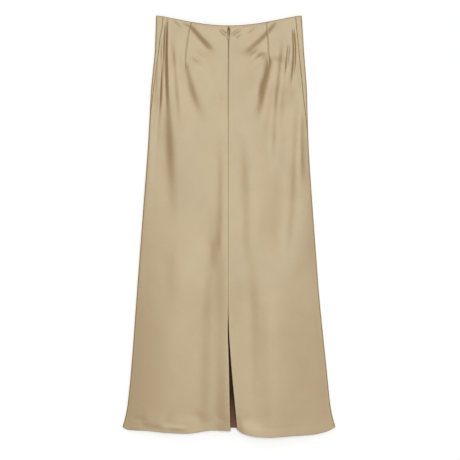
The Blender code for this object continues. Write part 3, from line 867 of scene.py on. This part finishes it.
SLIDER_WALL = 1.2
SLIDER_ROUNDING = 0.35
SLIDER_PLATE_LEVEL = 0.65  # of its middle, over the slider's underside
SLIDER_SHOULDER = 1.65  # half width of its round top
SLIDER_CROWN = 1.3  # height of that round
SLIDER_CROWN_STEPS = 12
SLIDER_SIDE = [(1.5, 3.0), (1.1, 0.5), (0.8, 0.0)]  # half widths at heights over its foot
RING_RADIUS = 2.0
RING_WIRE = 0.36
RING_START = -62.0  # in degrees
RING_SWEEP = 304.0
RING_STEPS = 28

enamel = coated_material("zip_enamel", ENAMEL_TONE, 0.25, enamel_wear)
slider_low, slider_high = (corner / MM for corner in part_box("zip_slider"))
hinge = Vector(frame["joints"][0]["pos_m"]) / MM  # the pull's is the only one
slider_x = (slider_low.x + slider_high.x) / 2
slider_length = slider_high.y - slider_low.y


def cut_plate(name, outlines, wall, rounding, place, tip, material, body):
    """A plate with rounded edges, cut to outlines in millimetres, the first the outer one.

    tip is how many degrees its lower end is tipped up."""
    curve = bpy.data.curves.new(name, "CURVE")
    curve.dimensions = "2D"
    curve.fill_mode = "BOTH"
    curve.extrude = (wall / 2 - rounding) * MM
    curve.bevel_depth = rounding * MM
    curve.bevel_resolution = 3
    curve.offset = -rounding * MM
    curve.materials.append(material)
    for outline in outlines:
        spline = curve.splines.new("POLY")
        spline.points.add(len(outline) - 1)
        for point, (x, y) in zip(spline.points, outline):
            point.co = (x * MM, y * MM, 0.0, 1.0)
        spline.use_cyclic_u = True
        spline.use_smooth = True
    piece = bpy.data.objects.new(name, curve)
    piece.location = Vector(place) * MM
    piece.rotation_euler.x = -math.radians(tip)
    scene.collection.objects.link(piece)
    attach(piece, body)
    return piece


# the plate is broad at its shoulders and narrows to a straight foot
shield = []
for k in range(SLIDER_CROWN_STEPS + 1):
    angle = math.pi * k / SLIDER_CROWN_STEPS
    crown_y = slider_length / 2 - SLIDER_CROWN + SLIDER_CROWN * math.sin(angle)
    shield.append((SLIDER_SHOULDER * math.cos(angle), crown_y))
shield += [(-half, up - slider_length / 2) for half, up in SLIDER_SIDE]
shield += [(half, up - slider_length / 2) for half, up in SLIDER_SIDE[::-1]]
plate_level = slider_low.z + SLIDER_PLATE_LEVEL
plate_place = (slider_x, (slider_low.y + slider_high.y) / 2, plate_level)
plate = cut_plate(
    "slider_plate", [shield], SLIDER_WALL, SLIDER_ROUNDING, plate_place, 0.0, enamel, "skirt"
)
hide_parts("zip_slider")
ring_points = []
for k in range(RING_STEPS + 1):
    angle = math.radians(RING_START + RING_SWEEP * k / RING_STEPS)
    ring_y = hinge.y + RING_RADIUS * math.cos(angle)
    ring_points.append((hinge.x, ring_y, hinge.z + RING_RADIUS * math.sin(angle)))
ring = wire("slider_ring", ring_points, RING_WIRE, enamel)
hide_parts("zip_slider")


# --- Pull -----------------------------------------------------------------------------
# A teardrop stamped from plate and enamelled like the slider. Its eye hangs on the ring,
# and it lies down the seam with its round end on the lips of the cloth.

PULL_WALL = 0.8
PULL_ROUNDING = 0.2
PULL_BAR = 1.2  # half width of the bar that hangs on the ring
PULL_EYE = 1.6  # half width of the eye
PULL_CORNER = 0.5
PULL_EYE_END = -3.6  # where the eye ends and the plate begins to swell
PULL_HOLE = [(0.9, -0.45), (0.9, -3.0), (0.6, -3.5)]  # half widths, down from the hinge
PULL_SWELL_STEPS = 9
PULL_END_STEPS = 24
PULL_TIP = 5.5  # degrees by which its round end is tipped up
PULL_RISE = 0.15

pull_low, pull_high = (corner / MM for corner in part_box("zip_pull"))
round_end = (pull_high.x - pull_low.x) / 2
bar_end = pull_high.y - hinge.y
end_y = pull_low.y - hinge.y + round_end
swell = []
for k in range(PULL_SWELL_STEPS):
    share = k / PULL_SWELL_STEPS
    half = PULL_EYE + (round_end - PULL_EYE) * float(ease(share))
    swell.append((half, PULL_EYE_END + (end_y - PULL_EYE_END) * share))
teardrop = [(PULL_BAR, bar_end), (-PULL_BAR, bar_end), (-PULL_EYE, bar_end - PULL_CORNER)]
teardrop += [(-half, y) for half, y in swell]
for k in range(PULL_END_STEPS + 1):
    angle = math.pi * (1.0 + k / PULL_END_STEPS)
    teardrop.append((round_end * math.cos(angle), end_y + round_end * math.sin(angle)))
teardrop += swell[::-1] + [(PULL_EYE, bar_end - PULL_CORNER)]
eye = [(-half, y) for half, y in PULL_HOLE] + [(half, y) for half, y in PULL_HOLE[::-1]]
pull_place = (hinge.x, hinge.y, (pull_low.z + pull_high.z) / 2 + PULL_RISE)
pull = cut_plate(
    "pull", [teardrop, eye], PULL_WALL, PULL_ROUNDING, pull_place, PULL_TIP, enamel, "pull"
)
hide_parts("zip_pull")


# --- Studio ---------------------------------------------------------------------------
# The skirt lies on a white table and is seen from straight above. A big soft box hangs
# far over it, a little to the right, and the white room gives the rest of the light.

VIEW_WIDTH = 1081.0 * MM  # what the view spans at the level of the skirt
CAMERA_LENS = 150.0
CAMERA_SENSOR = 36.0
CAMERA_AIM = (2.4 * MM, -8.8 * MM)
SKIRT_LEVEL = 5.0 * MM
ROOM_LIGHT = 0.25  # what the room gives to the skirt,
ROOM_SHOWN = 0.95  # and how bright it looks itself
TABLE_WHITE = (0.97, 0.97, 0.97, 1.0)
TABLE_BELOW = 0.3 * MM

camera_data = bpy.data.cameras.new("studio_camera")
camera_data.type = "PERSP"
camera_data.lens = CAMERA_LENS
camera_data.sensor_width = CAMERA_SENSOR
camera_data.clip_start = 0.05
camera = bpy.data.objects.new("studio_camera", camera_data)
camera_height = SKIRT_LEVEL + VIEW_WIDTH * CAMERA_LENS / CAMERA_SENSOR
camera.location = (CAMERA_AIM[0], CAMERA_AIM[1], camera_height)
scene.collection.objects.link(camera)
scene.camera = camera

scene.view_settings.view_transform = "Standard"
scene.view_settings.look = "None"

room = bpy.data.worlds.new("white_room")
room.use_nodes = True
room_nodes = room.node_tree.nodes
room_links = room.node_tree.links
room_nodes["Background"].inputs["Color"].default_value = (1.0, 0.99, 0.97, 1.0)
room_nodes["Background"].inputs["Strength"].default_value = ROOM_LIGHT
backdrop = room_nodes.new("ShaderNodeBackground")
backdrop.inputs["Color"].default_value = (1.0, 1.0, 1.0, 1.0)
backdrop.inputs["Strength"].default_value = ROOM_SHOWN
ray = room_nodes.new("ShaderNodeLightPath")
blend = room_nodes.new("ShaderNodeMixShader")
room_links.new(ray.outputs["Is Camera Ray"], blend.inputs["Fac"])
room_links.new(room_nodes["Background"].outputs["Background"], blend.inputs[1])
room_links.new(backdrop.outputs["Background"], blend.inputs[2])
room_links.new(blend.outputs["Shader"], room_nodes["World Output"].inputs["Surface"])
scene.world = room

SoftBox = namedtuple("SoftBox", "name x y z spread strength")
# Where each one hangs seen from the skirt, how wide it looks in degrees, and its strength
for box in (
    SoftBox("overhead_softbox", 0.04, 0.125, 1.0, 36.0, 2.16),
    SoftBox("side_softbox", 1.0, 0.5, 0.8, 70.0, 0.30),
    SoftBox("low_softbox_top", -0.5, 1.0, 0.5, 36.0, 0.30),
    SoftBox("low_softbox_hem", 0.5, -1.0, 0.4, 36.0, 0.30),
):
    lamp = bpy.data.lights.new(box.name, "SUN")
    lamp.energy = box.strength
    lamp.angle = math.radians(box.spread)
    light = bpy.data.objects.new(box.name, lamp)
    light.location = (box.x, box.y, box.z)
    light.rotation_euler = Vector((-box.x, -box.y, -box.z)).to_track_quat("-Z", "Y").to_euler()
    scene.collection.objects.link(light)

bpy.ops.mesh.primitive_plane_add(size=30.0, location=(0.0, 0.0, -TABLE_BELOW))
table_top = bpy.context.object
table_top.name = "table_top"
white = bpy.data.materials.new("white_table")
white.use_nodes = True
table_shader = white.node_tree.nodes["Principled BSDF"]
table_shader.inputs["Base Color"].default_value = TABLE_WHITE
table_shader.inputs["Roughness"].default_value = 0.9
table_top.data.materials.append(white)
